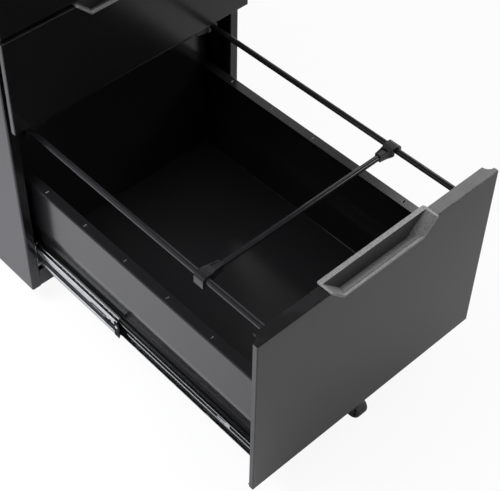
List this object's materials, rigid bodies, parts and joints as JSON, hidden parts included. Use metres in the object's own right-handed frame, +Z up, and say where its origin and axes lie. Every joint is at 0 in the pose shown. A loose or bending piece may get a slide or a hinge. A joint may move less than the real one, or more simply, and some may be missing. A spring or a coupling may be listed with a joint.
{
  "type": "mobile filing cabinet",
  "caption": "Sheet steel filing cabinet on swivel casters, box drawers over a file drawer that stands open on telescopic slides with hanging rails and cross bars.",
  "frame": {"origin": "On the floor under the middle of the case, with the file drawer open.", "axes": "+X is to the right of a person facing the fronts, +Y runs from the fronts to the back, +Z is up."},
  "size_m": [0.39, 0.951, 0.65],
  "materials": {
    "cabinet_paint": "satin powder coat",
    "pull_grey": "fine moulded texture",
    "rail_black": "gloss black",
    "clip_black": "moulded black",
    "slide_zinc": "bright zinc plate",
    "cage_steel": "plain steel",
    "caster_steel": "zinc plate",
    "wheel_black": "hard black nylon"
  },
  "bodies": {
    "case": {"case_side_left": "cabinet_paint", "case_side_right": "cabinet_paint", "case_top": "cabinet_paint", "case_back": "cabinet_paint", "case_base": "cabinet_paint", "uprights_left": "cabinet_paint", "uprights_right": "cabinet_paint", "caster_plates": "caster_steel", "file_slide_outer": "slide_zinc", "middle_slide_outer": "slide_zinc", "top_slide_outer": "slide_zinc"},
    "file_drawer": {"file_front": "cabinet_paint", "file_pull": "pull_grey", "file_liner": "cabinet_paint", "file_tray": "cabinet_paint", "file_tray_back": "cabinet_paint", "file_slide_inner": "slide_zinc", "rail_left": "rail_black", "rail_right": "rail_black", "anti_tip_bracket": "cabinet_paint", "anti_tip_axle": "caster_steel"},
    "file_slide": {"file_slide_mid": "slide_zinc", "file_slide_cages": "cage_steel"},
    "middle_drawer": {"middle_front": "cabinet_paint", "middle_pull": "pull_grey", "middle_liner": "cabinet_paint", "middle_tray": "cabinet_paint", "middle_tray_back": "cabinet_paint", "middle_slide_inner": "slide_zinc"},
    "middle_slide": {"middle_slide_mid": "slide_zinc", "middle_slide_cages": "cage_steel"},
    "top_drawer": {"top_front": "cabinet_paint", "top_pull": "pull_grey", "top_liner": "cabinet_paint", "top_tray": "cabinet_paint", "top_tray_back": "cabinet_paint", "top_slide_inner": "slide_zinc"},
    "top_slide": {"top_slide_mid": "slide_zinc", "top_slide_cages": "cage_steel"},
    "front_cross_bar": {"cross_bar_front": "rail_black", "clip_front_left": "clip_black", "clip_front_right": "clip_black"},
    "rear_cross_bar": {"cross_bar_rear": "rail_black", "clip_rear_left": "clip_black", "clip_rear_right": "clip_black"},
    "anti_tip_roller": {"anti_tip_wheel": "wheel_black"},
    "front_left_caster": {"caster_fork_front_left": "caster_steel"},
    "front_left_roller": {"caster_wheel_front_left": "wheel_black"},
    "front_right_caster": {"caster_fork_front_right": "caster_steel"},
    "front_right_roller": {"caster_wheel_front_right": "wheel_black"},
    "rear_left_caster": {"caster_fork_rear_left": "caster_steel"},
    "rear_left_roller": {"caster_wheel_rear_left": "wheel_black"},
    "rear_right_caster": {"caster_fork_rear_right": "caster_steel"},
    "rear_right_roller": {"caster_wheel_rear_right": "wheel_black"}
  },
  "joints": [
    {"name": "file_drawer_slide", "type": "slide", "parent": "case", "child": "file_drawer", "axis": [0, 1, 0], "range_m": [0, 0.43]},
    {"name": "file_member_slide", "type": "slide", "parent": "case", "child": "file_slide", "axis": [0, 1, 0], "range_m": [0, 0.215]},
    {"name": "middle_drawer_slide", "type": "slide", "parent": "case", "child": "middle_drawer", "axis": [0, -1, 0], "range_m": [0, 0.43]},
    {"name": "middle_member_slide", "type": "slide", "parent": "case", "child": "middle_slide", "axis": [0, -1, 0], "range_m": [0, 0.215]},
    {"name": "top_drawer_slide", "type": "slide", "parent": "case", "child": "top_drawer", "axis": [0, -1, 0], "range_m": [0, 0.43]},
    {"name": "top_member_slide", "type": "slide", "parent": "case", "child": "top_slide", "axis": [0, -1, 0], "range_m": [0, 0.215]},
    {"name": "front_cross_bar_slide", "type": "slide", "parent": "file_drawer", "child": "front_cross_bar", "axis": [0, 1, 0], "range_m": [-0.09, 0.15]},
    {"name": "rear_cross_bar_slide", "type": "slide", "parent": "file_drawer", "child": "rear_cross_bar", "axis": [0, 1, 0], "range_m": [-0.16, 0.004]},
    {"name": "anti_tip_roll", "type": "hinge", "parent": "file_drawer", "child": "anti_tip_roller", "pos_m": [0, -0.676, 0.018], "axis": [1, 0, 0], "continuous": true},
    {"name": "front_left_swivel", "type": "hinge", "parent": "case", "child": "front_left_caster", "pos_m": [-0.15, -0.205, 0.045], "axis": [0, 0, 1], "continuous": true},
    {"name": "front_left_roll", "type": "hinge", "parent": "front_left_caster", "child": "front_left_roller", "pos_m": [-0.15, -0.191, 0.019], "axis": [1, 0, 0], "continuous": true},
    {"name": "front_right_swivel", "type": "hinge", "parent": "case", "child": "front_right_caster", "pos_m": [0.15, -0.205, 0.045], "axis": [0, 0, 1], "continuous": true},
    {"name": "front_right_roll", "type": "hinge", "parent": "front_right_caster", "child": "front_right_roller", "pos_m": [0.15, -0.191, 0.019], "axis": [1, 0, 0], "continuous": true},
    {"name": "rear_left_swivel", "type": "hinge", "parent": "case", "child": "rear_left_caster", "pos_m": [-0.15, 0.205, 0.045], "axis": [0, 0, 1], "continuous": true},
    {"name": "rear_left_roll", "type": "hinge", "parent": "rear_left_caster", "child": "rear_left_roller", "pos_m": [-0.15, 0.219, 0.019], "axis": [1, 0, 0], "continuous": true},
    {"name": "rear_right_swivel", "type": "hinge", "parent": "case", "child": "rear_right_caster", "pos_m": [0.15, 0.205, 0.045], "axis": [0, 0, 1], "continuous": true},
    {"name": "rear_right_roll", "type": "hinge", "parent": "rear_right_caster", "child": "rear_right_roller", "pos_m": [0.15, 0.219, 0.019], "axis": [1, 0, 0], "continuous": true}
  ],
  "couplings": [
    {"joint": "file_member_slide", "follows": "file_drawer_slide", "ratio": 0.5},
    {"joint": "middle_member_slide", "follows": "middle_drawer_slide", "ratio": 0.5},
    {"joint": "top_member_slide", "follows": "top_drawer_slide", "ratio": 0.5}
  ]
}
